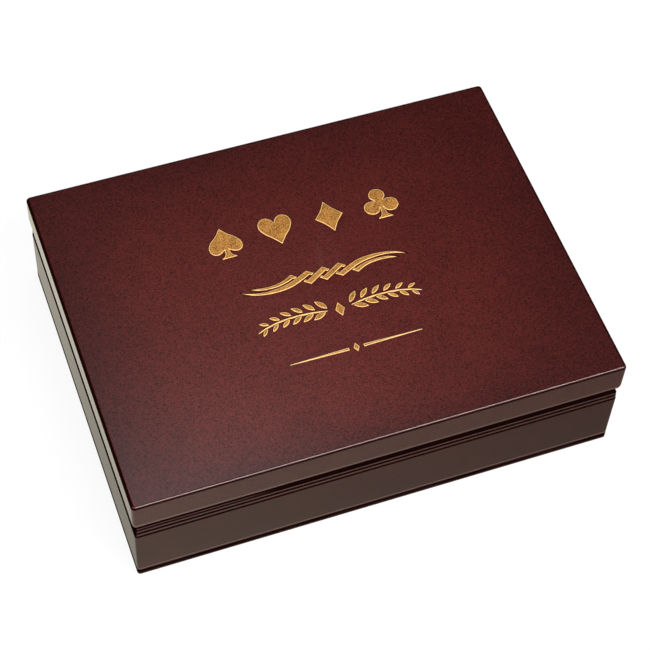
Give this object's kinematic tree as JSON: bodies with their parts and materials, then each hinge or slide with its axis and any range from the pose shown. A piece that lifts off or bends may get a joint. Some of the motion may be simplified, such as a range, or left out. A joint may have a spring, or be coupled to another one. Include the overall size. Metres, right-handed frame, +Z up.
{
  "type": "playing card box",
  "caption": "Low rectangular lacquered wooden box with a moulded hinged lid, lined card wells and a dice channel.",
  "frame": {"origin": "centre of the flat underside, below the middle of the lid's outline", "axes": "+Z up out of the lid, +Y towards the hinges at the back, +X to the right seen from the front"},
  "size_m": [0.1714, 0.1337, 0.046],
  "materials": {
    "lacquered_wood": "satin lacquer",
    "velvet": "flocked velvet",
    "felt": "pressed felt",
    "brass": "polished",
    "nickel": "nickel plated"
  },
  "bodies": {
    "base": {"base_back_liner": "velvet", "base_back_wall": "lacquered_wood", "base_front_liner": "velvet", "base_front_wall": "lacquered_wood", "base_hinge_leaf_left": "brass", "base_hinge_leaf_right": "brass", "base_left_liner": "velvet", "base_left_wall": "lacquered_wood", "base_magnet_left": "nickel", "base_magnet_right": "nickel", "base_right_liner": "velvet", "base_right_wall": "lacquered_wood", "bottom_board": "lacquered_wood", "dice_channel_pad": "velvet", "felt_base_pad": "felt", "hinge_pin_left": "brass", "hinge_pin_right": "brass", "left_well_pad": "velvet", "right_well_pad": "velvet", "tray_back_bar": "velvet", "tray_front_bar": "velvet", "tray_left_divider": "velvet", "tray_right_divider": "velvet"},
    "lid": {"lid_back_liner": "velvet", "lid_back_rail": "lacquered_wood", "lid_front_liner": "velvet", "lid_front_rail": "lacquered_wood", "lid_hinge_leaf_left": "brass", "lid_hinge_leaf_right": "brass", "lid_left_liner": "velvet", "lid_left_rail": "lacquered_wood", "lid_magnet_left": "nickel", "lid_magnet_right": "nickel", "lid_pad": "velvet", "lid_right_liner": "velvet", "lid_right_rail": "lacquered_wood", "lid_top_board": "lacquered_wood"}
  },
  "joints": [
    {"name": "lid_hinge", "type": "hinge", "parent": "base", "child": "lid", "pos_m": [0, 0.06685, 0.02635], "axis": [-1, 0, 0], "range_deg": [0, 100]}
  ]
}
